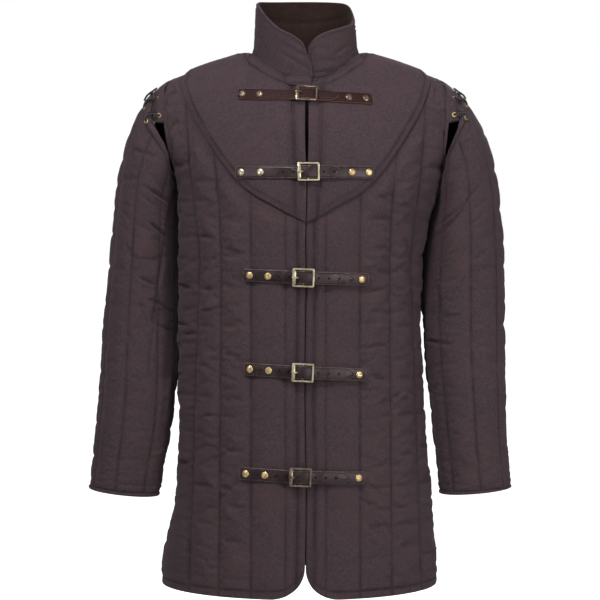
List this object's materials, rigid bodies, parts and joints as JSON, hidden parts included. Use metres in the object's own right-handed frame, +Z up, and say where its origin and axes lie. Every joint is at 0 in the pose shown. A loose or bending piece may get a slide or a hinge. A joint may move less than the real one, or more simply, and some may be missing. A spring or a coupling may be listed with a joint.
{
  "type": "gambeson",
  "caption": "Quilted arming coat in its worn, hollow form, with a stand collar, a smooth shoulder mantle, laced-on sleeves and a front closed by buckled straps.",
  "frame": {"origin": "the middle of the neck opening at shoulder level, where the wearer's shoulders hold the coat", "axes": "+Z up, front towards -Y, the wearer's left towards +X"},
  "size_m": [0.705, 0.3118, 0.9843],
  "materials": {
    "aubergine_canvas": "matt cotton canvas, padded and quilted",
    "lace_cord": "matt round cord",
    "strap_leather": "semi-gloss, creased along the edges",
    "antique_brass": "antique brass, worn bright on the edges"
  },
  "bodies": {
    "root": {"back": "aubergine_canvas", "collar": "aubergine_canvas", "front_left": "aubergine_canvas", "front_right": "aubergine_canvas", "lace_left": "lace_cord", "lace_right": "lace_cord", "mantle_back": "aubergine_canvas", "mantle_left": "aubergine_canvas", "mantle_right": "aubergine_canvas", "shoulder_strip_left": "aubergine_canvas", "shoulder_strip_right": "aubergine_canvas", "sleeve_left": "aubergine_canvas", "sleeve_right": "aubergine_canvas", "strap_1_billet": "strap_leather", "strap_1_buckle": "antique_brass", "strap_1_chape": "strap_leather", "strap_1_prong": "antique_brass", "strap_1_rivet_a": "antique_brass", "strap_1_rivet_b": "antique_brass", "strap_1_rivet_c": "antique_brass", "strap_1_rivet_d": "antique_brass", "strap_2_billet": "strap_leather", "strap_2_buckle": "antique_brass", "strap_2_chape": "strap_leather", "strap_2_prong": "antique_brass", "strap_2_rivet_a": "antique_brass", "strap_2_rivet_b": "antique_brass", "strap_2_rivet_c": "antique_brass", "strap_2_rivet_d": "antique_brass", "strap_3_billet": "strap_leather", "strap_3_buckle": "antique_brass", "strap_3_chape": "strap_leather", "strap_3_prong": "antique_brass", "strap_3_rivet_a": "antique_brass", "strap_3_rivet_b": "antique_brass", "strap_3_rivet_c": "antique_brass", "strap_4_billet": "strap_leather", "strap_4_buckle": "antique_brass", "strap_4_chape": "strap_leather", "strap_4_prong": "antique_brass", "strap_4_rivet_a": "antique_brass", "strap_4_rivet_b": "antique_brass", "strap_4_rivet_c": "antique_brass", "strap_5_billet": "strap_leather", "strap_5_buckle": "antique_brass", "strap_5_chape": "strap_leather", "strap_5_prong": "antique_brass", "strap_5_rivet_a": "antique_brass", "strap_5_rivet_b": "antique_brass", "strap_5_rivet_c": "antique_brass"}
  },
  "joints": []
}
